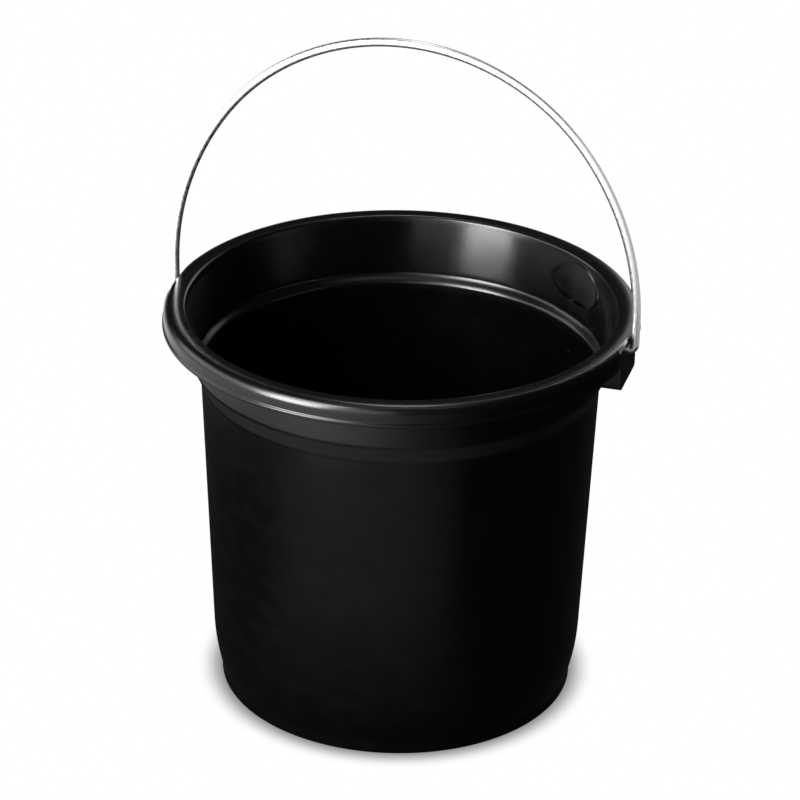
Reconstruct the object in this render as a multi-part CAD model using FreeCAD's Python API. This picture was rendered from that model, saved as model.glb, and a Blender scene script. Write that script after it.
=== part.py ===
import FreeCAD, Part
import math
import os

# Florist bucket: one injection-moulded bucket and one bent wire bail.
# Units are millimetres. +Z is up, +X runs from the origin to the right-hand ear.
# The origin is the centre of the ring the bucket stands on.

Vector = FreeCAD.Vector
UP = Vector(0, 0, 1)

# --- bucket walls -----------------------------------------------------------
BUCKET_HEIGHT = 262.0
WALL = 1.6
FLOOR = 2.5

FOOT_RADIUS = 114.5
FOOT_HEIGHT = 7.0
FOOT_THICKNESS = 2.5
FLOOR_UNDERSIDE = 5.0

BODY_LOW_RADIUS = 119.1      # outside of the wall at the middle of the heel curve
BODY_LOW_HEIGHT = 23.5
BODY_TOP_RADIUS = 126.8      # outside of the wall under the shoulder
SHOULDER_LOW_DEPTH = 45.6    # depths are measured down from the rim top
HEEL_ROUNDING = 130.0
FLOOR_CORNER_ROUNDING = 6.0

# --- collar: the wider band above the shoulder ------------------------------
COLLAR_LOW_RADIUS = 129.9    # inside faces
COLLAR_TOP_RADIUS = 136.4
SHOULDER_TOP_DEPTH = 36.3

# --- rim: turned out and down over the collar -------------------------------
RIM_RADIUS = 150.0
RIM_DROP = 12.4
RIM_CROWN_ROUNDING = 5.5
RIM_MOUTH_ROUNDING = 2.2

# --- ears: three-sided housings under the rim that carry the bail -----------
EAR_FACE = 147.3             # distance of the flat outer face from the centre
EAR_WIDTH = 40.0
EAR_DROP = 31.0              # depth of the lower edge below the rim top
EAR_PLATE = 3.0
EAR_CORNER_ROUNDING = 3.0

# --- bail -------------------------------------------------------------------
WIRE_RADIUS = 2.75
PIVOT_DROP = 10.6            # depth of the hinge axis below the rim top
PIVOT_CLEARANCE = 0.08       # radial
LEG_OFFSET = 150.7           # wire centre, sideways from the middle
LEG_LENGTH = 19.3            # straight part above the hinge axis
CROWN_RISE = 165.0           # height of the arch above the straight part
SIDE_ARC_RADIUS = 180.0      # the arch is flatter at its sides than at its top
BEND_RADIUS = 3.4
PIN_END = 139.5              # distance of the wire's cut ends from the centre

# --- raised scale panel on the inside wall ----------------------------------
PANEL_ANGLE = 46.5           # degrees from +X towards +Y
PANEL_SWEEP = 44.0           # degrees of wall the relief is cut from
PANEL_RAISE = 0.5
MARK_RAISE = 1.0
STRIP_WIDTH = 34.0
STRIP_LOW_HEIGHT = 30.0
OVAL_HEIGHT_ABOVE_FOOT = 243.5
OVAL_HALF_WIDTH = 26.5
OVAL_HALF_HEIGHT = 14.0
OVAL_BORDER = 2.6
MARK_LENGTH = 15.0
MARK_THICKNESS = 1.4
FIRST_MARK_HEIGHT = 50.0     # two litres
MARK_SPACING = 21.5          # about one litre
MARK_COUNT = 8

PIVOT_HEIGHT = BUCKET_HEIGHT - PIVOT_DROP
SHOULDER_TOP = BUCKET_HEIGHT - SHOULDER_TOP_DEPTH
SHOULDER_LOW = BUCKET_HEIGHT - SHOULDER_LOW_DEPTH
RIM_FLAT_HALF_WIDTH = math.sqrt(RIM_RADIUS ** 2 - EAR_FACE ** 2)


def rounded_face(corners):
    """Face in the XZ plane from corners given as (x, z, rounding radius)."""
    points = [Vector(x, 0, z) for x, z, _ in corners]
    spans = []
    for index, (_, _, rounding) in enumerate(corners):
        corner = points[index]
        back = (points[index - 1] - corner).normalize()
        ahead = (points[(index + 1) % len(points)] - corner).normalize()
        half_angle = back.getAngle(ahead) / 2
        setback = rounding / math.tan(half_angle)
        inwards = (back + ahead).normalize()
        middle = corner + inwards * (rounding / math.sin(half_angle) - rounding)
        spans.append((corner + back * setback, middle, corner + ahead * setback))
    edges = []
    for index, (start, middle, end) in enumerate(spans):
        if (end - start).Length > 1e-6:
            edges.append(Part.Arc(start, middle, end).toShape())
        next_start = spans[(index + 1) % len(spans)][0]
        edges.append(Part.makeLine(end, next_start))
    return Part.Face(Part.Wire(edges))


def turned(corners, first_angle=0.0, sweep=360.0):
    """Solid of revolution about Z, starting first_angle degrees from +X."""
    face = rounded_face(corners)
    face.rotate(Vector(0, 0, 0), UP, first_angle)
    return face.revolve(Vector(0, 0, 0), UP, sweep)


def inside_wall_corners(raise_by):
    """Inside of collar, shoulder and body, moved towards the axis by raise_by."""
    body_slope = (BODY_TOP_RADIUS - BODY_LOW_RADIUS) / (SHOULDER_LOW - BODY_LOW_HEIGHT)
    body_top = BODY_TOP_RADIUS - WALL
    strip_low = body_top - body_slope * (SHOULDER_LOW - STRIP_LOW_HEIGHT)
    return [
        (COLLAR_TOP_RADIUS - raise_by, BUCKET_HEIGHT - RIM_MOUTH_ROUNDING, 0),
        (COLLAR_LOW_RADIUS - raise_by, SHOULDER_TOP, 0),
        (body_top - raise_by, SHOULDER_LOW, 0),
        (strip_low - raise_by, STRIP_LOW_HEIGHT, 0),
    ]


def make_turned_walls():
    """Foot ring, floor, heel, body, shoulder, collar and rim in one section."""
    heel_slope = (BODY_LOW_RADIUS - FOOT_RADIUS) / (BODY_LOW_HEIGHT - FOOT_HEIGHT)
    floor_top = FLOOR_UNDERSIDE + FLOOR
    inner_low_radius = BODY_LOW_RADIUS - WALL
    inner_floor_radius = inner_low_radius - heel_slope * (BODY_LOW_HEIGHT - floor_top)
    foot_inner_radius = FOOT_RADIUS - FOOT_THICKNESS
    skirt_low = BUCKET_HEIGHT - RIM_DROP
    rim_underside = BUCKET_HEIGHT - WALL
    return turned([
        (0, FLOOR_UNDERSIDE, 0),
        (foot_inner_radius, FLOOR_UNDERSIDE, 0),
        (foot_inner_radius, 0, 0),
        (FOOT_RADIUS, 0, 0),
        (FOOT_RADIUS, FOOT_HEIGHT, 0),
        (BODY_LOW_RADIUS, BODY_LOW_HEIGHT, HEEL_ROUNDING),
        (BODY_TOP_RADIUS, SHOULDER_LOW, 0),
        (COLLAR_LOW_RADIUS + WALL, SHOULDER_TOP - WALL / 2, 0),
        (COLLAR_TOP_RADIUS + WALL, rim_underside, 0),
        (RIM_RADIUS - WALL, rim_underside, RIM_CROWN_ROUNDING - WALL),
        (RIM_RADIUS - WALL, skirt_low, 0),
        (RIM_RADIUS, skirt_low, 0),
        (RIM_RADIUS, BUCKET_HEIGHT, RIM_CROWN_ROUNDING),
        (COLLAR_TOP_RADIUS, BUCKET_HEIGHT, RIM_MOUTH_ROUNDING),
        (COLLAR_LOW_RADIUS, SHOULDER_TOP, 0),
        (BODY_TOP_RADIUS - WALL, SHOULDER_LOW, 0),
        (inner_low_radius, BODY_LOW_HEIGHT, HEEL_ROUNDING),
        (inner_floor_radius, floor_top, FLOOR_CORNER_ROUNDING),
        (0, floor_top, 0),
    ])


def make_ear():
    """Housing at +X: an outer plate and two side webs, open at the bottom."""
    ear_low = BUCKET_HEIGHT - EAR_DROP
    depth = EAR_FACE - COLLAR_LOW_RADIUS
    half_width = EAR_WIDTH / 2
    outline = rounded_face([
        (-half_width, ear_low, EAR_CORNER_ROUNDING),
        (half_width, ear_low, EAR_CORNER_ROUNDING),
        (half_width, BUCKET_HEIGHT, 0),
        (-half_width, BUCKET_HEIGHT, 0),
    ])
    outline.rotate(Vector(0, 0, 0), UP, 90)
    outline.translate(Vector(COLLAR_LOW_RADIUS, 0, 0))
    block = outline.extrude(Vector(depth, 0, 0))
    pocket_width = EAR_WIDTH - 2 * EAR_PLATE
    pocket = Part.makeBox(depth - EAR_PLATE, pocket_width, EAR_DROP,
                          Vector(COLLAR_LOW_RADIUS, -pocket_width / 2, ear_low))
    rim_backing = Part.makeBox(EAR_PLATE, 2 * RIM_FLAT_HALF_WIDTH, RIM_DROP,
                               Vector(EAR_FACE - EAR_PLATE, -RIM_FLAT_HALF_WIDTH,
                                      BUCKET_HEIGHT - RIM_DROP))
    # The ear stops half way through the collar wall and the rim it grows from.
    half_wall = WALL / 2
    room_for_ear = turned([
        (COLLAR_LOW_RADIUS + half_wall, SHOULDER_TOP, 0),
        (RIM_RADIUS - half_wall, SHOULDER_TOP, 0),
        (RIM_RADIUS - half_wall, BUCKET_HEIGHT - half_wall, RIM_CROWN_ROUNDING - half_wall),
        (COLLAR_TOP_RADIUS + half_wall, BUCKET_HEIGHT - half_wall, 0),
    ])
    return block.cut(pocket).fuse(rim_backing).common(room_for_ear)


def make_ear_cutter():
    """Takes the flat off the rim in front of the +X ear and drills its hole."""
    beyond_rim = RIM_RADIUS + BEND_RADIUS
    flat_low = BUCKET_HEIGHT - EAR_DROP
    flat = Part.makeBox(beyond_rim - EAR_FACE, RIM_RADIUS, EAR_DROP,
                        Vector(EAR_FACE, -RIM_RADIUS / 2, flat_low))
    hole_start = EAR_FACE - 1.5 * EAR_PLATE
    hole = Part.makeCylinder(WIRE_RADIUS + PIVOT_CLEARANCE, beyond_rim - hole_start,
                             Vector(hole_start, 0, PIVOT_HEIGHT), Vector(1, 0, 0))
    return flat.fuse(hole)


def with_opposite(shape):
    """The shape together with its copy on the other side of the bucket."""
    opposite = shape.copy()
    opposite.rotate(Vector(0, 0, 0), UP, 180)
    return [shape, opposite]


def wall_layer(raise_by):
    """Skin on the inside wall around the panel, standing raise_by proud of it."""
    into_wall = -WALL / 2
    inner = inside_wall_corners(raise_by)
    outer = inside_wall_corners(into_wall)
    first_angle = PANEL_ANGLE - PANEL_SWEEP / 2
    return turned(inner + outer[::-1], first_angle, PANEL_SWEEP)


def towards_panel(shape):
    """Turn a shape made at +X round to the panel's place on the wall."""
    turned_shape = shape.copy()
    turned_shape.rotate(Vector(0, 0, 0), UP, PANEL_ANGLE)
    return turned_shape


def oval_prism(half_width, half_height):
    """Horizontal oval bar along +X at the height of the blank medallion."""
    start = COLLAR_LOW_RADIUS / 2
    centre = Vector(start, 0, OVAL_HEIGHT_ABOVE_FOOT)
    oval = Part.Ellipse(centre + Vector(0, half_width, 0),
                        centre + Vector(0, 0, half_height), centre)
    face = Part.Face(Part.Wire(oval.toShape()))
    return face.extrude(Vector(RIM_RADIUS - start, 0, 0))


def wall_bar(width, low, height):
    """Rectangular bar along +X that cuts a patch of the given size from a wall."""
    start = COLLAR_LOW_RADIUS / 2
    return Part.makeBox(RIM_RADIUS - start, width, height, Vector(start, -width / 2, low))


def make_scale_relief():
    """Blank oval medallion and a litre strip with plain marks."""
    oval = oval_prism(OVAL_HALF_WIDTH, OVAL_HALF_HEIGHT)
    oval_inside = oval_prism(OVAL_HALF_WIDTH - OVAL_BORDER, OVAL_HALF_HEIGHT - OVAL_BORDER)
    strip_height = OVAL_HEIGHT_ABOVE_FOOT - STRIP_LOW_HEIGHT
    strip = wall_bar(STRIP_WIDTH, STRIP_LOW_HEIGHT, strip_height)
    panel = wall_layer(PANEL_RAISE).common(towards_panel(oval.fuse(strip)))
    raised = [oval.cut(oval_inside)]
    for index in range(MARK_COUNT):
        mark_height = FIRST_MARK_HEIGHT + index * MARK_SPACING
        raised.append(wall_bar(MARK_LENGTH, mark_height, MARK_THICKNESS))
    raised_bars = towards_panel(Part.makeCompound(raised))
    marks = wall_layer(MARK_RAISE).common(raised_bars)
    return panel.fuse(marks)


def make_bucket_shell():
    shell = make_turned_walls()
    shell = shell.fuse(with_opposite(make_ear()) + [make_scale_relief()])
    shell = shell.cut(with_opposite(make_ear_cutter()))
    return shell.removeSplitter()


def bail_side(side):
    """Pin, bend and straight leg of one side (+1 or -1), from the cut end up."""
    pin_inner = Vector(side * PIN_END, 0, PIVOT_HEIGHT)
    bend_start = Vector(side * (LEG_OFFSET - BEND_RADIUS), 0, PIVOT_HEIGHT)
    bend_centre = bend_start + Vector(0, 0, BEND_RADIUS)
    diagonal = BEND_RADIUS / math.sqrt(2)
    bend_middle = bend_centre + Vector(side * diagonal, 0, -diagonal)
    bend_end = bend_centre + Vector(side * BEND_RADIUS, 0, 0)
    leg_top = Vector(side * LEG_OFFSET, 0, PIVOT_HEIGHT + LEG_LENGTH)
    return [
        Part.makeLine(pin_inner, bend_start),
        Part.Arc(bend_start, bend_middle, bend_end).toShape(),
        Part.makeLine(bend_end, leg_top),
    ]


def arch_arcs():
    """Three tangent arcs from the top of one leg over to the top of the other."""
    leg_top = PIVOT_HEIGHT + LEG_LENGTH
    side_centre_x = LEG_OFFSET - SIDE_ARC_RADIUS
    spare = SIDE_ARC_RADIUS - CROWN_RISE
    top_centre_height = (side_centre_x ** 2 - spare ** 2) / (2 * spare)
    top_radius = CROWN_RISE - top_centre_height
    join_angle = math.atan2(top_centre_height, -side_centre_x)

    def on_arc(side, centre_x, centre_height, radius, angle):
        return Vector(side * (centre_x + radius * math.cos(angle)), 0,
                      leg_top + centre_height + radius * math.sin(angle))

    arcs = []
    for side in (-1, 1):
        start, middle, join = [on_arc(side, side_centre_x, 0, SIDE_ARC_RADIUS, angle)
                               for angle in (0, join_angle / 2, join_angle)]
        arcs.append(Part.Arc(start, middle, join).toShape())
    joins = [on_arc(side, 0, top_centre_height, top_radius, join_angle) for side in (-1, 1)]
    top = Vector(0, 0, leg_top + CROWN_RISE)
    arcs.append(Part.Arc(joins[0], top, joins[1]).toShape())
    return arcs


def make_bail_wire():
    """Round wire: an arch with straight legs and pins turned inwards."""
    edges = bail_side(-1) + arch_arcs() + bail_side(1)
    path = Part.Wire(Part.__sortEdges__(edges))
    section = Part.makeCircle(WIRE_RADIUS, Vector(-PIN_END, 0, PIVOT_HEIGHT), Vector(1, 0, 0))
    return path.makePipeShell([Part.Wire(section)], True, True)


def save(node, shape):
    shape.exportStep(os.path.join("parts", node + ".step"))
    box = shape.BoundBox
    print(node, "valid", shape.isValid(), "solids", len(shape.Solids),
          "volume cm3 %.1f" % (shape.Volume / 1000),
          "x %.1f..%.1f y %.1f..%.1f z %.1f..%.1f"
          % (box.XMin, box.XMax, box.YMin, box.YMax, box.ZMin, box.ZMax))


os.makedirs("parts", exist_ok=True)
save("bucket_shell", make_bucket_shell())
save("bail_wire", make_bail_wire())
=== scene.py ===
import math

import bpy
from mathutils import Matrix, Vector


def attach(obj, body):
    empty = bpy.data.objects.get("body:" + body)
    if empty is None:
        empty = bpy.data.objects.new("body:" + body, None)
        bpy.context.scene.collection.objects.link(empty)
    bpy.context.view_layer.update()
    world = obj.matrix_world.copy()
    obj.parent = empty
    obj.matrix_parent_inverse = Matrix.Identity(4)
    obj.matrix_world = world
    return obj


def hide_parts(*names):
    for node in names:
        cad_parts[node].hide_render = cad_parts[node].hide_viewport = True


# Florist bucket: a black moulded bucket and a bright bent wire bail.
# Sizes are in millimetres and MM turns them into metres. They are the CAD model's,
# apart from small roundings, beads and bows, the outside of the shoulder and collar,
# and the oval's place and height.

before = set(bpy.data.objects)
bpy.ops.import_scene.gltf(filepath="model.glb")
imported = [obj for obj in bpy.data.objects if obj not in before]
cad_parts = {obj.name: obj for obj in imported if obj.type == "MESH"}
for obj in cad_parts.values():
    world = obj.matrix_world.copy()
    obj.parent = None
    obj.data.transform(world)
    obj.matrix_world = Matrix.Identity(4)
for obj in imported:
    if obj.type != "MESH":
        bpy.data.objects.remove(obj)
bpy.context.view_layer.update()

MM = 0.001

# --- bucket walls -----------------------------------------------------------
BUCKET_HEIGHT = 262.0
WALL = 1.6
FLOOR_THICKNESS = 2.5
FLOOR_UNDERSIDE = 5.0
FOOT_RADIUS = 114.5
FOOT_THICKNESS = 2.5
FOOT_HEIGHT = 7.0
BODY_LOW_RADIUS = 119.1
BODY_LOW_HEIGHT = 23.5
BODY_TOP_RADIUS = 126.8
SHOULDER_LOW = 216.4
SHOULDER_TOP = 225.7
HEEL_ROUNDING = 130.0
FLOOR_CORNER_ROUNDING = 6.0
COLLAR_LOW_RADIUS = 129.9
COLLAR_TOP_RADIUS = 136.4
OUTER_SHOULDER_LOW = 214.0   # the shoulder's outside is longer and softer than its inside
OUTER_SHOULDER_TOP = 226.0
SHOULDER_ROUNDING = 8.0
RIM_RADIUS = 150.0
RIM_DROP = 12.4
RIM_CROWN_ROUNDING = 5.5
RIM_MOUTH_ROUNDING = 2.2
RIM_LIP_ROUNDING = 0.6
FOOT_INSIDE_ROUNDING = 1.0
FOOT_EDGE_ROUNDING = 0.5
FOOT_TOP_ROUNDING = 2.0
COLLAR_TOP_ROUNDING = 4.0
HOLE_AT_AXIS = 0.01          # radius left open where the walls meet the turning axis
COLLAR_STEPS = 6             # rows of faces on the collar's inside
SHOULDER_STEPS = 14          # and on the shoulder's
WALL_SHARP_ANGLE = 40        # edges bent more than this stay sharp, in degrees
LIP_BEAD = 0.9               # bead round the skirt's lower edge
LIP_BEAD_HEIGHT = 2.8
CROWN_MIDDLE_RADIUS = 142.0
CROWN_DOME = 0.8             # how far the rim's top rises at its middle
CROWN_DROP = 0.3             # and falls at its outer edge
CROWN_DOME_ROUNDING = 20.0
COLLAR_BOW = 0.5             # how far the collar's inside bows inwards half way up
COLLAR_OUTER_RADIUS = 132.3
COLLAR_UPRIGHT_TOP = 241.5

# --- ears -------------------------------------------------------------------
EAR_FACE = 147.3
EAR_WIDTH = 40.0
EAR_DROP = 31.0
EAR_PLATE = 3.0
EAR_CORNER_ROUNDING = 3.0
EAR_TOP = 258.6
EAR_EDGE_ROUNDING = 0.5
EAR_SHARP_ANGLE = 40
RIM_FLAT_SINK = 0.05         # keeps the rim's flat just behind the ear's face

# --- bail -------------------------------------------------------------------
WIRE_RADIUS = 2.75
PIVOT_HEIGHT = 251.4
PIVOT_CLEARANCE = 0.08
LEG_OFFSET = 150.7
LEG_LENGTH = 19.3
CROWN_RISE = 165.0
SIDE_ARC_RADIUS = 180.0
BEND_RADIUS = 3.4
PIN_END = 139.5
WIRE_END_CHAMFER = 0.6
WIRE_SHARP_ANGLE = 35

# --- raised scale panel -----------------------------------------------------
PANEL_ANGLE = 46.5
PANEL_RAISE = 0.5
MARK_RAISE = 1.0
EDGE_SLOPE = 0.35            # sideways width of the relief's sloping edges
RELIEF_SINK = 0.4            # how far the relief's edges run into the wall
RELIEF_SHARP_ANGLE = 30
STRIP_WIDTH = 34.0
STRIP_LOW = 30.0
OVAL_HEIGHT = 245.5
OVAL_HALF_WIDTH = 26.5
OVAL_HALF_HEIGHT = 12.5
OVAL_BORDER = 2.6
OVAL_FLAT_MARGIN = 3.0       # ring of faces that keeps the oval flat inside its border
OVAL_MIDDLE = 0.5            # half height of the single face at the oval's middle
MARK_LENGTH = 15.0
MARK_THICKNESS = 1.4
FIRST_MARK_HEIGHT = 50.0
MARK_SPACING = 21.5
MARK_COUNT = 8


# --- mesh helpers -----------------------------------------------------------

def add_piece(name, vertices, faces, body, material):
    """A smooth-shaded mesh piece that rides on a CAD body."""
    mesh = bpy.data.meshes.new(name)
    mesh.from_pydata([Vector(vertex) * MM for vertex in vertices], [], faces)
    mesh.validate()
    mesh.shade_smooth()
    piece = bpy.data.objects.new(name, mesh)
    bpy.context.scene.collection.objects.link(piece)
    mesh.materials.append(material)
    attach(piece, body)
    return piece


def crisp_edges(piece, degrees):
    """Flat areas stay flat and edges steeper than the angle stay sharp."""
    piece.data.set_sharp_from_angle(angle=math.radians(degrees))
    normals = piece.modifiers.new("flat_areas", "WEIGHTED_NORMAL")
    normals.keep_sharp = True
    normals.weight = 100


def rounded_outline(corners, arc_steps=6):
    """Points of an open outline; each corner is (x, z, rounding radius)."""
    outline = []
    for index, (x, z, rounding) in enumerate(corners):
        corner = Vector((x, z))
        if rounding == 0:
            outline.append(corner)
            continue
        back = (Vector(corners[index - 1][:2]) - corner).normalized()
        ahead = (Vector(corners[(index + 1) % len(corners)][:2]) - corner).normalized()
        half_angle = back.angle(ahead) / 2
        centre = corner + (back + ahead).normalized() * rounding / math.sin(half_angle)
        first = corner + back * rounding / math.tan(half_angle) - centre
        last = corner + ahead * rounding / math.tan(half_angle) - centre
        turn = first.angle(last)
        for step in range(arc_steps + 1):
            share = step / arc_steps
            from_first = math.sin((1 - share) * turn) / math.sin(turn)
            from_last = math.sin(share * turn) / math.sin(turn)
            outline.append(centre + first * from_first + last * from_last)
    return outline


def grid_faces(rows, columns, closed):
    """Quads between neighbouring rows of vertices; closed joins the last column."""
    faces = []
    last = columns if closed else columns - 1
    for row in range(rows - 1):
        for column in range(last):
            beside = (column + 1) % columns
            low = row * columns
            high = low + columns
            faces.append((low + column, low + beside, high + beside, high + column))
    return faces


# --- bucket -----------------------------------------------------------------

def steps_down(high, low, steps):
    """Evenly spaced heights below high, down to low."""
    return [high + (low - high) * step / steps for step in range(1, steps + 1)]


def ease(share):
    """Smooth step from 0 to 1."""
    return share * share * (3 - 2 * share)


def inside_radius(height):
    """Inside radius of the bucket wall at a height above its heel."""
    if height > SHOULDER_TOP:
        share = (height - SHOULDER_TOP) / (BUCKET_HEIGHT - SHOULDER_TOP)
        straight = COLLAR_LOW_RADIUS + share * (COLLAR_TOP_RADIUS - COLLAR_LOW_RADIUS)
        return straight - 4 * COLLAR_BOW * share * (1 - share)
    body_top = BODY_TOP_RADIUS - WALL
    if height > SHOULDER_LOW:
        share = (height - SHOULDER_LOW) / (SHOULDER_TOP - SHOULDER_LOW)
        return body_top + ease(ease(share)) * (COLLAR_LOW_RADIUS - body_top)
    body_low = BODY_LOW_RADIUS - WALL
    share = (height - BODY_LOW_HEIGHT) / (SHOULDER_LOW - BODY_LOW_HEIGHT)
    return body_low + share * (body_top - body_low)


def wall_corners():
    """Half section of the bucket, from the middle underneath to the middle inside."""
    heel_slope = (BODY_LOW_RADIUS - FOOT_RADIUS) / (BODY_LOW_HEIGHT - FOOT_HEIGHT)
    floor_top = FLOOR_UNDERSIDE + FLOOR_THICKNESS
    inner_low_radius = BODY_LOW_RADIUS - WALL
    inner_floor_radius = inner_low_radius - heel_slope * (BODY_LOW_HEIGHT - floor_top)
    skirt_low = BUCKET_HEIGHT - RIM_DROP
    rim_underside = BUCKET_HEIGHT - WALL
    foot_inner_radius = FOOT_RADIUS - FOOT_THICKNESS
    inside_heights = steps_down(BUCKET_HEIGHT, SHOULDER_TOP, COLLAR_STEPS)
    inside_heights += steps_down(SHOULDER_TOP, SHOULDER_LOW, SHOULDER_STEPS)
    upper_inside = [(inside_radius(height), height, 0) for height in inside_heights]
    outside = [
        (HOLE_AT_AXIS, FLOOR_UNDERSIDE, 0),
        (foot_inner_radius, FLOOR_UNDERSIDE, FOOT_INSIDE_ROUNDING),
        (foot_inner_radius, 0, FOOT_EDGE_ROUNDING),
        (FOOT_RADIUS, 0, FOOT_EDGE_ROUNDING),
        (FOOT_RADIUS, FOOT_HEIGHT, FOOT_TOP_ROUNDING),
        (BODY_LOW_RADIUS, BODY_LOW_HEIGHT, HEEL_ROUNDING),
        (BODY_TOP_RADIUS, OUTER_SHOULDER_LOW, SHOULDER_ROUNDING),
        (COLLAR_OUTER_RADIUS, OUTER_SHOULDER_TOP, SHOULDER_ROUNDING),
        (COLLAR_OUTER_RADIUS, COLLAR_UPRIGHT_TOP, COLLAR_TOP_ROUNDING),
        (COLLAR_TOP_RADIUS + WALL, rim_underside, RIM_MOUTH_ROUNDING),
        (RIM_RADIUS - WALL, rim_underside, RIM_CROWN_ROUNDING - WALL),
        (RIM_RADIUS - WALL, skirt_low, RIM_LIP_ROUNDING),
        (RIM_RADIUS + LIP_BEAD, skirt_low, RIM_LIP_ROUNDING),
        (RIM_RADIUS + LIP_BEAD, skirt_low + LIP_BEAD_HEIGHT - LIP_BEAD, RIM_LIP_ROUNDING),
        (RIM_RADIUS, skirt_low + LIP_BEAD_HEIGHT, RIM_LIP_ROUNDING),
        (RIM_RADIUS, BUCKET_HEIGHT - CROWN_DROP, RIM_CROWN_ROUNDING),
        (CROWN_MIDDLE_RADIUS, BUCKET_HEIGHT + CROWN_DOME, CROWN_DOME_ROUNDING),
        (COLLAR_TOP_RADIUS, BUCKET_HEIGHT, RIM_MOUTH_ROUNDING),
    ]
    lower_inside = [
        (inner_low_radius, BODY_LOW_HEIGHT, HEEL_ROUNDING),
        (inner_floor_radius, floor_top, FLOOR_CORNER_ROUNDING),
        (HOLE_AT_AXIS, floor_top, 0),
    ]
    return outside + upper_inside + lower_inside


def turning_angles():
    """Angles round the bucket in degrees, closer together at the two ears."""
    coarse = 1.5
    fine = 0.375
    ear_half_span = 13.5
    angles = []
    angle = 0.0
    while angle < 360.0:
        angles.append(angle)
        from_ear = min(angle % 180.0, 180.0 - angle % 180.0)
        near_ear = from_ear < ear_half_span
        angle += fine if near_ear else coarse
    return angles


def make_turned_walls(material):
    """Foot ring, floor, body, shoulder, collar and rim, with a flat at each ear."""
    outline = rounded_outline(wall_corners())
    angles = turning_angles()
    vertices = []
    # At the ears the rim is flat: its skirt's inside is a wall's thickness behind its face.
    for radius, height in outline:
        under_rim = RIM_RADIUS - radius > WALL / 2 and height < BUCKET_HEIGHT - WALL / 2
        flat = EAR_FACE - (WALL if under_rim else RIM_FLAT_SINK)
        for angle in angles:
            x = radius * math.cos(math.radians(angle))
            y = radius * math.sin(math.radians(angle))
            vertices.append((max(-flat, min(flat, x)), y, height))
    faces = grid_faces(len(outline), len(angles), closed=True)
    piece = add_piece("bucket_walls", vertices, faces, "bucket", material)
    crisp_edges(piece, WALL_SHARP_ANGLE)
    return piece


def boolean_cut(piece, cutter):
    """Subtract cutter from piece and remove the cutter."""
    cut = piece.modifiers.new("cut", "BOOLEAN")
    cut.object = cutter
    cut.operation = "DIFFERENCE"
    cut.solver = "EXACT"
    depsgraph = bpy.context.evaluated_depsgraph_get()
    result = bpy.data.meshes.new_from_object(piece.evaluated_get(depsgraph))
    piece.modifiers.clear()
    piece.data = result
    bpy.data.objects.remove(cutter)


def prism(name, outline, starts, end):
    """Solid with a (y, z) outline, running along X from each point's start to end."""
    count = len(outline)
    vertices = [(start, y, z) for start, (y, z) in zip(starts, outline)]
    vertices += [(end, y, z) for y, z in outline]
    faces = grid_faces(2, count, closed=True)
    faces.append(tuple(reversed(range(count))))
    faces.append(tuple(range(count, 2 * count)))
    mesh = bpy.data.meshes.new(name)
    mesh.from_pydata([Vector(vertex) * MM for vertex in vertices], [], faces)
    solid = bpy.data.objects.new(name, mesh)
    bpy.context.scene.collection.objects.link(solid)
    return solid


def web_starts(outline):
    """X of each edge of an ear, half way through the collar wall, which leans outwards."""
    starts = []
    for _, height in outline:
        middle_radius = inside_radius(height) + WALL / 2
        starts.append(math.sqrt(middle_radius ** 2 - (EAR_WIDTH / 2) ** 2))
    return starts


def cut_pocket(ear):
    """Hollow an ear out from below, which leaves its outer plate and two side webs."""
    half = EAR_WIDTH / 2 - EAR_PLATE
    low = BUCKET_HEIGHT - EAR_DROP - EAR_PLATE
    top = EAR_TOP + EAR_PLATE
    outline = [(half, low), (half, top), (-half, top), (-half, low)]
    starts = [COLLAR_LOW_RADIUS - EAR_PLATE] * len(outline)
    boolean_cut(ear, prism("pocket", outline, starts, EAR_FACE - EAR_PLATE))


def cut_hinge_hole(ear):
    """Round hole through an ear's outer plate for the wire's end."""
    radius = WIRE_RADIUS + PIVOT_CLEARANCE
    sides = 48
    outline = []
    for side in range(sides):
        angle = 2 * math.pi * side / sides
        outline.append((radius * math.cos(angle), PIVOT_HEIGHT + radius * math.sin(angle)))
    starts = [EAR_FACE - 2 * EAR_PLATE] * sides
    boolean_cut(ear, prism("hole", outline, starts, EAR_FACE + EAR_PLATE))


def round_ear_edges(ear):
    """Small moulded roundings on an ear's edges."""
    bevel = ear.modifiers.new("moulded_edges", "BEVEL")
    bevel.width = EAR_EDGE_ROUNDING * MM
    bevel.segments = 3
    bevel.limit_method = "ANGLE"
    bevel.angle_limit = math.radians(EAR_SHARP_ANGLE)
    bevel.harden_normals = True
    ear.data.shade_smooth()


def make_ear(name, turn, material):
    """Outer plate and two side webs under the rim, open below, with the hinge hole."""
    low = BUCKET_HEIGHT - EAR_DROP
    half = EAR_WIDTH / 2
    outline = rounded_outline([
        (half, low, EAR_CORNER_ROUNDING),
        (half, EAR_TOP, 0),
        (-half, EAR_TOP, 0),
        (-half, low, EAR_CORNER_ROUNDING),
    ])
    ear = prism(name, outline, web_starts(outline), EAR_FACE)
    cut_pocket(ear)
    cut_hinge_hole(ear)
    round_ear_edges(ear)
    ear.data.materials.clear()
    ear.data.materials.append(material)
    ear.matrix_world = Matrix.Rotation(turn, 4, "Z")
    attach(ear, "bucket")
    return ear


def on_wall(sideways, height, raised):
    """Point on the inside wall at the panel, raised towards the bucket's axis."""
    radius = inside_radius(height) - raised
    angle = math.radians(PANEL_ANGLE) + sideways / inside_radius(height)
    return (radius * math.cos(angle), radius * math.sin(angle), height)


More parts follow.
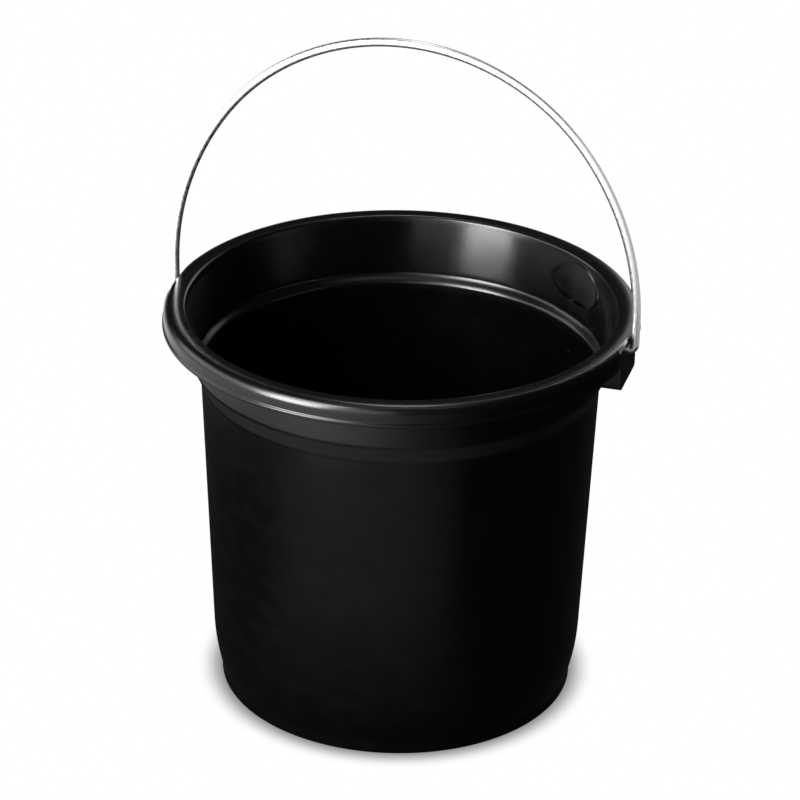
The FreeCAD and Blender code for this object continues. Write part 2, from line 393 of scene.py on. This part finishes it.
def wall_strip(name, half_width, heights, raised, material):
    """Raised strip up the wall with sloping long edges; heights are (height, flush).

    Rows that are flush run into the wall, which slopes the strip's ends too.
    """
    across = [(-half_width - EDGE_SLOPE, -RELIEF_SINK), (-half_width, raised)]
    middle_columns = 9
    for column in range(1, middle_columns):
        across.append((-half_width + 2 * half_width * column / middle_columns, raised))
    across += [(half_width, raised), (half_width + EDGE_SLOPE, -RELIEF_SINK)]
    vertices = []
    for height, flush in heights:
        for sideways, lift in across:
            vertices.append(on_wall(sideways, height, -RELIEF_SINK if flush else lift))
    faces = grid_faces(len(heights), len(across), closed=False)
    piece = add_piece(name, vertices, faces, "bucket", material)
    crisp_edges(piece, RELIEF_SHARP_ANGLE)
    return piece


def make_scale_strip(material):
    """Plain strip that runs from the medallion down the wall."""
    heights = [(STRIP_LOW - EDGE_SLOPE, True), (STRIP_LOW, False)]
    body_steps = 12
    collar_steps = 3
    for step in range(1, body_steps):
        heights.append((STRIP_LOW + (SHOULDER_LOW - STRIP_LOW) * step / body_steps, False))
    for height in reversed(steps_down(SHOULDER_TOP, SHOULDER_LOW, SHOULDER_STEPS)):
        heights.append((height, False))
    for height in reversed(steps_down(OVAL_HEIGHT, SHOULDER_TOP, collar_steps)):
        heights.append((height, False))
    return wall_strip("scale_strip", STRIP_WIDTH / 2, heights, PANEL_RAISE, material)


def make_scale_mark(index, material):
    """One plain litre mark: a short raised bar across the strip."""
    low = FIRST_MARK_HEIGHT + index * MARK_SPACING
    high = low + MARK_THICKNESS
    heights = [(low - EDGE_SLOPE, True), (low, False), (high, False), (high + EDGE_SLOPE, True)]
    name = "scale_mark_%d" % (index + 1)
    return wall_strip(name, MARK_LENGTH / 2, heights, MARK_RAISE, material)


def make_medallion(material):
    """Blank oval plate with a raised border at the head of the scale strip."""
    segments = 128
    inner_border = OVAL_BORDER + EDGE_SLOPE
    rings = [
        (OVAL_HALF_HEIGHT - OVAL_MIDDLE, PANEL_RAISE),
        (inner_border + OVAL_FLAT_MARGIN, PANEL_RAISE),
        (inner_border, PANEL_RAISE),
        (OVAL_BORDER, MARK_RAISE),
        (0.0, MARK_RAISE),
        (-EDGE_SLOPE, -RELIEF_SINK),
    ]
    vertices = []
    for inset, raised in rings:
        for segment in range(segments):
            angle = 2 * math.pi * segment / segments
            sideways = (OVAL_HALF_WIDTH - inset) * math.cos(angle)
            height = OVAL_HEIGHT + (OVAL_HALF_HEIGHT - inset) * math.sin(angle)
            vertices.append(on_wall(sideways, height, raised))
    faces = grid_faces(len(rings), segments, closed=True)
    faces.append(tuple(range(segments)))
    piece = add_piece("scale_medallion", vertices, faces, "bucket", material)
    crisp_edges(piece, RELIEF_SHARP_ANGLE)
    return piece


# --- bail -------------------------------------------------------------------

def bail_half_path():
    """Wire centre line from the cut end at +X to the middle of the crown."""
    path = [Vector((PIN_END, PIVOT_HEIGHT)), Vector((PIN_END + WIRE_END_CHAMFER, PIVOT_HEIGHT))]
    bend_centre = Vector((LEG_OFFSET - BEND_RADIUS, PIVOT_HEIGHT + BEND_RADIUS))
    bend_steps = 12
    for step in range(bend_steps + 1):
        angle = -math.pi / 2 * (1 - step / bend_steps)
        path.append(bend_centre + BEND_RADIUS * Vector((math.cos(angle), math.sin(angle))))
    # The arch is a flat side arc that runs on into a rounder top arc.
    leg_top = PIVOT_HEIGHT + LEG_LENGTH
    side_centre = Vector((LEG_OFFSET - SIDE_ARC_RADIUS, leg_top))
    spare = SIDE_ARC_RADIUS - CROWN_RISE
    top_centre = Vector((0, leg_top + (side_centre.x ** 2 - spare ** 2) / (2 * spare)))
    top_radius = leg_top + CROWN_RISE - top_centre.y
    join_angle = math.atan2(top_centre.y - leg_top, -side_centre.x)
    side_steps = 40
    top_steps = 60
    for step in range(side_steps):
        angle = join_angle * step / side_steps
        path.append(side_centre + SIDE_ARC_RADIUS * Vector((math.cos(angle), math.sin(angle))))
    for step in range(top_steps + 1):
        angle = join_angle + (math.pi / 2 - join_angle) * step / top_steps
        path.append(top_centre + top_radius * Vector((math.cos(angle), math.sin(angle))))
    return path


def swept_wire(path, sides):
    """Rings of vertices along a centre line, and each ring's distance along it."""
    end_radius = WIRE_RADIUS - WIRE_END_CHAMFER
    vertices = []
    lengths = [0.0]
    for index, point in enumerate(path):
        before = path[max(index - 1, 0)]
        after = path[min(index + 1, len(path) - 1)]
        tangent = (after - before).normalized()
        outwards = Vector((tangent.y, -tangent.x))
        radius = end_radius if index in (0, len(path) - 1) else WIRE_RADIUS
        if index:
            lengths.append(lengths[-1] + (point - before).length)
        for side in range(sides):
            angle = 2 * math.pi * side / sides
            in_plane = point + outwards * radius * math.cos(angle)
            vertices.append((in_plane.x, radius * math.sin(angle), in_plane.y))
    return vertices, lengths


def add_wire_map(mesh, sides, lengths):
    """UV map with distance along the wire and round it, both in metres."""
    layer = mesh.uv_layers.new(name="along_wire")
    around = 2 * math.pi * WIRE_RADIUS / sides
    for polygon in mesh.polygons:
        columns = [mesh.loops[loop].vertex_index % sides for loop in polygon.loop_indices]
        wraps = max(columns) - min(columns) > sides / 2
        for loop, column in zip(polygon.loop_indices, columns):
            row = mesh.loops[loop].vertex_index // sides
            if wraps and column < sides / 2:
                column += sides
            layer.data[loop].uv = (lengths[row] * MM, column * around * MM)


def make_bail(material):
    """Round wire swept along the bail's centre line, with chamfered cut ends."""
    half = bail_half_path()
    path = half + [Vector((-point.x, point.y)) for point in reversed(half[:-1])]
    sides = 32
    vertices, lengths = swept_wire(path, sides)
    faces = grid_faces(len(path), sides, closed=True)
    faces.append(tuple(reversed(range(sides))))
    faces.append(tuple(range(len(vertices) - sides, len(vertices))))
    bail = add_piece("bail_wire_bent", vertices, faces, "bail", material)
    add_wire_map(bail.data, sides, lengths)
    crisp_edges(bail, WIRE_SHARP_ANGLE)
    return bail


# --- materials --------------------------------------------------------------

# Heights in metres between which the collar's strong turning rings and the step under the
# collar fade in and out.
# On the step, a paler black is painted light that lifts the shade on its downward-facing
# underside.
RINGS_START = (0.2225, 0.2285)
RINGS_END = (0.2575, 0.2600)
STEP_START = (0.2130, 0.2160)
STEP_END = (0.2240, 0.2265)

# How strongly turning rings stretch highlights.
BODY_RINGS = 0.1
COLLAR_RINGS = 0.90

CLOUD_SPREAD = (0.3, 0.7)    # spreads are the noise values that are stretched out
SCUFF_SPREAD = (0.40, 0.75)
SCUFF_STRETCH = (1.0, 1.0, 1.5)
FLOW_LINE_STRETCH = (1.0, 1.0, 0.06)
PLASTIC_ROUGHNESS = (0.22, 0.27)
SCUFF_ROUGHNESS = 0.03
BODY_POLISH = 0.06           # how much smoother the walls are below the step
CLEAN_BLACK = (0.0007, 0.0007, 0.0008, 1)
DUSTY_BLACK = (0.0018, 0.0018, 0.0019, 1)
# Paler black on the outside of the step under the collar: painted light that lifts the shade on
# its underside.
PAINTED_STEP_LIGHT = (0.0080, 0.0080, 0.0082, 1)
GRAIN_DEPTH = 0.000012
FLOW_LINE_DEPTH = 0.00003
PLASTIC_IOR = 1.5
QUARTER_TURN = 0.25          # turns the shader's stretch from round the walls to up them

SPANGLE_SPREAD = (0.35, 0.65)
ZINC_ROUGHNESS = (0.28, 0.38)
DULL_ZINC = (0.70, 0.71, 0.72, 1)
BRIGHT_ZINC = (0.86, 0.86, 0.86, 1)
DRAWING_LINE_DEPTH = 0.00002
DRAWING_LINE_STRETCH = (12.0, 900.0, 1.0)


def node_material(name):
    """New node material: returns it, its nodes, its links and its shader."""
    material = bpy.data.materials.new(name)
    material.use_nodes = True
    nodes = material.node_tree.nodes
    return material, nodes, material.node_tree.links, nodes["Principled BSDF"]


def noise(nodes, links, vector, scale, detail):
    """Noise over a vector, from 0 to 1."""
    texture = nodes.new("ShaderNodeTexNoise")
    texture.inputs["Scale"].default_value = scale
    texture.inputs["Detail"].default_value = detail
    links.new(vector, texture.inputs["Vector"])
    return texture.outputs["Fac"]


def remap(nodes, links, value, from_low, from_high, to_low, to_high):
    """Move a value from one range to another and keep it inside the second."""
    ramp = nodes.new("ShaderNodeMapRange")
    ramp.inputs["From Min"].default_value = from_low
    ramp.inputs["From Max"].default_value = from_high
    ramp.inputs["To Min"].default_value = to_low
    ramp.inputs["To Max"].default_value = to_high
    links.new(value, ramp.inputs["Value"])
    return ramp.outputs["Result"]


def stretched(nodes, links, vector, scale):
    """A vector with each of its coordinates scaled."""
    mapping = nodes.new("ShaderNodeMapping")
    mapping.inputs["Scale"].default_value = scale
    links.new(vector, mapping.inputs["Vector"])
    return mapping.outputs["Vector"]


def math_node(nodes, links, operation, first, second):
    """Result of an operation on two sockets or numbers."""
    node = nodes.new("ShaderNodeMath")
    node.operation = operation
    for socket, value in zip(node.inputs, (first, second)):
        if isinstance(value, (int, float)):
            socket.default_value = value
        else:
            links.new(value, socket)
    return node.outputs["Value"]


def mixed_colour(nodes, links, share, low, high):
    """Colour between low and high, each of them a socket or a colour."""
    mix = nodes.new("ShaderNodeMix")
    mix.data_type = "RGBA"
    for name, colour in (("A", low), ("B", high)):
        if isinstance(colour, tuple):
            mix.inputs[name].default_value = colour
        else:
            links.new(colour, mix.inputs[name])
    links.new(share, mix.inputs["Factor"])
    return mix.outputs["Result"]


def bump(nodes, links, height, distance, normal=None):
    """Normal of a surface with small heights, on top of another normal if given."""
    node = nodes.new("ShaderNodeBump")
    node.inputs["Distance"].default_value = distance
    links.new(height, node.inputs["Height"])
    if normal is not None:
        links.new(normal, node.inputs["Normal"])
    return node.outputs["Normal"]


def smooth_range(nodes, links, value, low, high):
    """0 below low and 1 above high, with a soft step between."""
    ramp = nodes.new("ShaderNodeMapRange")
    ramp.interpolation_type = "SMOOTHSTEP"
    ramp.inputs["From Min"].default_value = low
    ramp.inputs["From Max"].default_value = high
    links.new(value, ramp.inputs["Value"])
    return ramp.outputs["Result"]


def band(nodes, links, height, start, end):
    """1 between two heights, fading in over start and out over end."""
    above_start = smooth_range(nodes, links, height, *start)
    above_end = smooth_range(nodes, links, height, *end)
    return math_node(nodes, links, "SUBTRACT", above_start, above_end)


def faces_inwards(nodes, links, place):
    """1 where a surface faces the bucket's axis and 0 where it faces away."""
    from_axis = stretched(nodes, links, place, (1.0, 1.0, 0.0))
    facing = nodes.new("ShaderNodeVectorMath")
    facing.operation = "DOT_PRODUCT"
    links.new(from_axis, facing.inputs[0])
    links.new(nodes.new("ShaderNodeNewGeometry").outputs["Normal"], facing.inputs[1])
    return math_node(nodes, links, "LESS_THAN", facing.outputs["Value"], 0.0)


def plastic_normal(nodes, links, place):
    """Fine moulded grain with faint upright flow lines."""
    grain = noise(nodes, links, place, scale=1400.0, detail=2.0)
    grain_normal = bump(nodes, links, grain, GRAIN_DEPTH)
    upright = stretched(nodes, links, place, FLOW_LINE_STRETCH)
    flow_lines = noise(nodes, links, upright, scale=260.0, detail=3.0)
    return bump(nodes, links, flow_lines, FLOW_LINE_DEPTH, grain_normal)


def plastic_roughness(nodes, links, clouds, scuffs, height):
    """Cloudy gloss, duller at scuffs and a little smoother below the step."""
    cloudy = remap(nodes, links, clouds, *CLOUD_SPREAD, *PLASTIC_ROUGHNESS)
    scuffed = math_node(nodes, links, "MULTIPLY", scuffs, SCUFF_ROUGHNESS)
    roughness = math_node(nodes, links, "ADD", cloudy, scuffed)
    above_step_low = smooth_range(nodes, links, height, *STEP_START)
    polish = remap(nodes, links, above_step_low, 0.0, 1.0, BODY_POLISH, 0.0)
    return math_node(nodes, links, "SUBTRACT", roughness, polish)


def plastic_colour(nodes, links, clouds, scuffs, height, inside):
    """Black with a trace of dust, and painted paler on the step under the collar as painted
    light that lifts the shade on its underside.
    """
    dust = math_node(nodes, links, "MULTIPLY", clouds, scuffs)
    colour = mixed_colour(nodes, links, dust, CLEAN_BLACK, DUSTY_BLACK)
    outside = math_node(nodes, links, "SUBTRACT", 1.0, inside)
    on_step = band(nodes, links, height, STEP_START, STEP_END)
    # Painted light: the outside of the step is painted paler to lift the shade on its
    # underside.
    painted_step_light = math_node(nodes, links, "MULTIPLY", on_step, outside)
    return mixed_colour(nodes, links, painted_step_light, colour, PAINTED_STEP_LIGHT)


def turning_rings(nodes, links, height, inside):
    """How far highlights are stretched up and down: most inside the collar."""
    on_collar = band(nodes, links, height, RINGS_START, RINGS_END)
    on_collar = math_node(nodes, links, "MULTIPLY", on_collar, inside)
    return remap(nodes, links, on_collar, 0.0, 1.0, BODY_RINGS, COLLAR_RINGS)


def make_plastic():
    """Black moulded plastic: soft gloss, faint mould texture and handling scuffs."""
    material, nodes, links, shader = node_material("black_moulded_plastic")
    place = nodes.new("ShaderNodeTexCoord").outputs["Object"]
    split = nodes.new("ShaderNodeSeparateXYZ")
    links.new(place, split.inputs["Vector"])
    height = split.outputs["Z"]
    inside = faces_inwards(nodes, links, place)
    clouds = noise(nodes, links, place, scale=14.0, detail=4.0)
    scuff_place = stretched(nodes, links, place, SCUFF_STRETCH)
    scuffs = noise(nodes, links, scuff_place, scale=60.0, detail=6.0)
    scuffs = remap(nodes, links, scuffs, *SCUFF_SPREAD, 0.0, 1.0)
    roughness = plastic_roughness(nodes, links, clouds, scuffs, height)
    colour = plastic_colour(nodes, links, clouds, scuffs, height, inside)
    rings = nodes.new("ShaderNodeTangent")
    rings.direction_type = "RADIAL"
    rings.axis = "Z"
    links.new(roughness, shader.inputs["Roughness"])
    links.new(colour, shader.inputs["Base Color"])
    links.new(plastic_normal(nodes, links, place), shader.inputs["Normal"])
    links.new(rings.outputs["Tangent"], shader.inputs["Tangent"])
    links.new(turning_rings(nodes, links, height, inside), shader.inputs["Anisotropic"])
    shader.inputs["Anisotropic Rotation"].default_value = QUARTER_TURN
    shader.inputs["IOR"].default_value = PLASTIC_IOR
    return material


def make_wire_steel():
    """Bright zinc-plated wire with drawing lines along its length."""
    material, nodes, links, shader = node_material("bright_zinc_wire")
    place = nodes.new("ShaderNodeUVMap")
    place.uv_map = "along_wire"
    along = stretched(nodes, links, place.outputs["UV"], DRAWING_LINE_STRETCH)
    drawing_lines = noise(nodes, links, along, scale=1.0, detail=3.0)
    spangle = noise(nodes, links, place.outputs["UV"], scale=420.0, detail=5.0)
    roughness = remap(nodes, links, spangle, *SPANGLE_SPREAD, *ZINC_ROUGHNESS)
    links.new(roughness, shader.inputs["Roughness"])
    colour = mixed_colour(nodes, links, spangle, DULL_ZINC, BRIGHT_ZINC)
    links.new(colour, shader.inputs["Base Color"])
    links.new(bump(nodes, links, drawing_lines, DRAWING_LINE_DEPTH), shader.inputs["Normal"])
    shader.inputs["Metallic"].default_value = 1.0
    return material


# --- studio -----------------------------------------------------------------

# The camera's distance and the height it aims at are in metres, and its lens and
# sensor in millimetres.
CAMERA_AZIMUTH = math.radians(15.6)
CAMERA_ELEVATION = math.radians(26.56)
CAMERA_ROLL = math.radians(0.97)
CAMERA_DISTANCE = 2.2355
CAMERA_LENS = 157.5
SENSOR_WIDTH = 36.0
AIM_HEIGHT = 0.1935

# What the floor and the world give to reflections. Distances are metres from the
# bucket's axis, azimuths are degrees from the camera's side, and spreads are cosines.
FLOOR_SIDE_AZIMUTH = -100
FLOOR_SIDE_SPREAD = (-0.45, 0.5)
FLOOR_SIDE_DISTANCE = (0.50, 0.60)
FLOOR_SIDE_LIGHT = 1.1
FLOOR_FRONT_AZIMUTH = -18
FLOOR_FRONT_SPREAD = (0.55, 0.98)
FLOOR_FRONT_DISTANCE = (0.10, 0.38)
FLOOR_FRONT_LIGHT = 0.17
FLOOR_LEAST_LIGHT = 0.015
WORLD_LIGHT = 0.03

# The soft shadow that the camera sees round the foot.
CONTACT_SHADOW_REACH = 0.019
CONTACT_SHADOW_RANGE = (0.35, 1.0)
CONTACT_SHADOW_LIGHT = 0.25

FLOOR_RADIUS = 6000.0        # millimetres
FLOOR_SIDES = 96

# Softboxes: name, azimuth from the camera's side and elevation in degrees, then
# distance, width and height in metres, and radiance. The wire's reach nothing else.
STUDIO_LIGHTS = [
    ("key", -49, 19, 1.6, 0.74, 1.05, 26),
    ("key_high", -49, 47, 1.6, 0.74, 0.50, 12),
    ("back_strip", 180, 64, 1.5, 0.22, 0.4, 7.0),
    ("left_fill", -92, 22, 2.0, 2.4, 1.1, 2.3),
    ("soft_front", -20, 22, 1.6, 0.8, 1.0, 1.5),
    ("right_back", 150, 22, 1.8, 0.9, 1.1, 1.2),
    ("top", 0, 84, 1.5, 0.9, 0.6, 0.6),
]
WIRE_LIGHTS = [
    ("wire_front", 0, 30, 0.7, 1.5, 1.5, 1.2),
    ("wire_back", 180, 5, 0.55, 1.4, 0.9, 0.35),
    ("wire_right", 90, 5, 0.55, 1.0, 0.9, 0.5),
]
LIGHT_TARGET = (0, 0, 0.15)


def direction(azimuth, elevation):
    """Unit vector from the object; azimuth 0 is towards -Y and 90 towards +X."""
    return Vector((math.sin(azimuth) * math.cos(elevation),
                   -math.cos(azimuth) * math.cos(elevation),
                   math.sin(elevation)))


def towards(nodes, links, place, azimuth):
    """Cosine between a floor point's direction and an azimuth beside the camera."""
    flat = nodes.new("ShaderNodeVectorMath")
    flat.operation = "NORMALIZE"
    links.new(place, flat.inputs[0])
    product = nodes.new("ShaderNodeVectorMath")
    product.operation = "DOT_PRODUCT"
    links.new(flat.outputs["Vector"], product.inputs[0])
    product.inputs[1].default_value = direction(CAMERA_AZIMUTH + math.radians(azimuth), 0)
    return product.outputs["Value"]


def lit_floor(nodes, links, place, azimuth, spread, distances, light):
    """Light on the floor to one side; it fades in over a spread and over distances."""
    distance = nodes.new("ShaderNodeVectorMath")
    distance.operation = "LENGTH"
    links.new(place, distance.inputs[0])
    far = smooth_range(nodes, links, distance.outputs["Value"], *distances)
    to_side = towards(nodes, links, place, azimuth)
    lit = math_node(nodes, links, "MULTIPLY", far, smooth_range(nodes, links, to_side, *spread))
    return math_node(nodes, links, "MULTIPLY", lit, light)


def reflected_floor(nodes, links, place):
    """What reflections see of the floor: a bright side and a dim front."""
    side = lit_floor(nodes, links, place, FLOOR_SIDE_AZIMUTH, FLOOR_SIDE_SPREAD,
                     FLOOR_SIDE_DISTANCE, FLOOR_SIDE_LIGHT)
    front = lit_floor(nodes, links, place, FLOOR_FRONT_AZIMUTH, FLOOR_FRONT_SPREAD,
                      FLOOR_FRONT_DISTANCE, FLOOR_FRONT_LIGHT)
    both = math_node(nodes, links, "ADD", side, front)
    return math_node(nodes, links, "ADD", both, FLOOR_LEAST_LIGHT)


def seen_floor(nodes, links):
    """What the camera sees of the floor: white, with a soft shadow at the foot."""
    contact = nodes.new("ShaderNodeAmbientOcclusion")
    contact.inputs["Distance"].default_value = CONTACT_SHADOW_REACH
    open_floor = smooth_range(nodes, links, contact.outputs["AO"], *CONTACT_SHADOW_RANGE)
    return remap(nodes, links, open_floor, 0.0, 1.0, CONTACT_SHADOW_LIGHT, 1.0)


def make_floor_material():
    """White sweep that shines by itself: bright to the camera, dim in reflections."""
    material, nodes, links, _ = node_material("white_sweep")
    place = nodes.new("ShaderNodeTexCoord").outputs["Object"]
    camera_ray = nodes.new("ShaderNodeLightPath").outputs["Is Camera Ray"]
    strength = nodes.new("ShaderNodeMix")
    links.new(camera_ray, strength.inputs["Factor"])
    links.new(reflected_floor(nodes, links, place), strength.inputs["A"])
    links.new(seen_floor(nodes, links), strength.inputs["B"])
    glow = nodes.new("ShaderNodeEmission")
    links.new(strength.outputs["Result"], glow.inputs["Strength"])
    links.new(glow.outputs["Emission"], nodes["Material Output"].inputs["Surface"])
    return material


def make_camera():
    """Long lens that looks down on the bucket, rolled a little."""
    data = bpy.data.cameras.new("camera")
    data.lens = CAMERA_LENS
    data.sensor_width = SENSOR_WIDTH
    camera = bpy.data.objects.new("camera", data)
    bpy.context.scene.collection.objects.link(camera)
    back = direction(CAMERA_AZIMUTH, CAMERA_ELEVATION)
    level_right = Vector((math.cos(CAMERA_AZIMUTH), math.sin(CAMERA_AZIMUTH), 0))
    level_up = back.cross(level_right)
    right = level_right * math.cos(CAMERA_ROLL) + level_up * math.sin(CAMERA_ROLL)
    up = back.cross(right)
    rotation = Matrix((right, up, back)).transposed().to_4x4()
    place = Vector((0, 0, AIM_HEIGHT)) + back * CAMERA_DISTANCE
    camera.matrix_world = Matrix.Translation(place) @ rotation
    bpy.context.scene.camera = camera


def make_softbox(name, azimuth, elevation, distance, width, height, radiance):
    """Area light facing the bucket; azimuth in degrees from the camera's side."""
    data = bpy.data.lights.new(name, "AREA")
    data.shape = "RECTANGLE"
    data.size = width
    data.size_y = height
    data.energy = radiance * math.pi * width * height
    light = bpy.data.objects.new(name, data)
    bpy.context.scene.collection.objects.link(light)
    target = Vector(LIGHT_TARGET)
    away = direction(CAMERA_AZIMUTH + math.radians(azimuth), math.radians(elevation))
    light.location = target + away * distance
    light.rotation_euler = away.to_track_quat("Z", "Y").to_euler()
    light.visible_camera = False
    return light


def make_floor(material):
    """Wide round floor that the bucket stands on."""
    vertices = [(0, 0, 0)]
    faces = []
    for side in range(FLOOR_SIDES):
        angle = 2 * math.pi * side / FLOOR_SIDES
        vertices.append((FLOOR_RADIUS * math.cos(angle), FLOOR_RADIUS * math.sin(angle), 0))
        faces.append((0, side + 1, (side + 1) % FLOOR_SIDES + 1))
    mesh = bpy.data.meshes.new("floor")
    mesh.from_pydata([Vector(vertex) * MM for vertex in vertices], [], faces)
    mesh.materials.append(material)
    floor = bpy.data.objects.new("floor", mesh)
    bpy.context.scene.collection.objects.link(floor)
    return floor


def make_world():
    """White behind the bucket for the camera, and almost dark in reflections."""
    world = bpy.data.worlds.new("studio")
    world.use_nodes = True
    nodes = world.node_tree.nodes
    links = world.node_tree.links
    camera_ray = nodes.new("ShaderNodeLightPath").outputs["Is Camera Ray"]
    strength = remap(nodes, links, camera_ray, 0.0, 1.0, WORLD_LIGHT, 1.0)
    background = nodes["Background"]
    background.inputs["Color"].default_value = (1, 1, 1, 1)
    links.new(strength, background.inputs["Strength"])
    bpy.context.scene.world = world


def light_only(light, piece):
    """Keep a light off everything but one piece."""
    receivers = bpy.data.collections.new(light.name + "_receivers")
    receivers.objects.link(piece)
    light.light_linking.receiver_collection = receivers


def build_object():
    """Make both bodies' pieces, hide the CAD parts that they replace, and return the bail."""
    plastic = make_plastic()
    steel = make_wire_steel()
    bucket_pieces = [
        make_turned_walls(plastic),
        make_ear("ear_right", 0.0, plastic),
        make_ear("ear_left", math.pi, plastic),
        make_scale_strip(plastic),
        make_medallion(plastic),
    ]
    for index in range(MARK_COUNT):
        bucket_pieces.append(make_scale_mark(index, plastic))
    for piece in bucket_pieces:
        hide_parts("bucket_shell")
    bail = make_bail(steel)
    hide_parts("bail_wire")
    return bail


def build_studio(bail):
    """Floor, world, camera and lights round the bucket."""
    make_floor(make_floor_material())
    make_world()
    make_camera()
    for softbox in STUDIO_LIGHTS:
        make_softbox(*softbox)
    for softbox in WIRE_LIGHTS:
        light_only(make_softbox(*softbox), bail)
    view = bpy.context.scene.view_settings
    view.view_transform = "Standard"


build_studio(build_object())
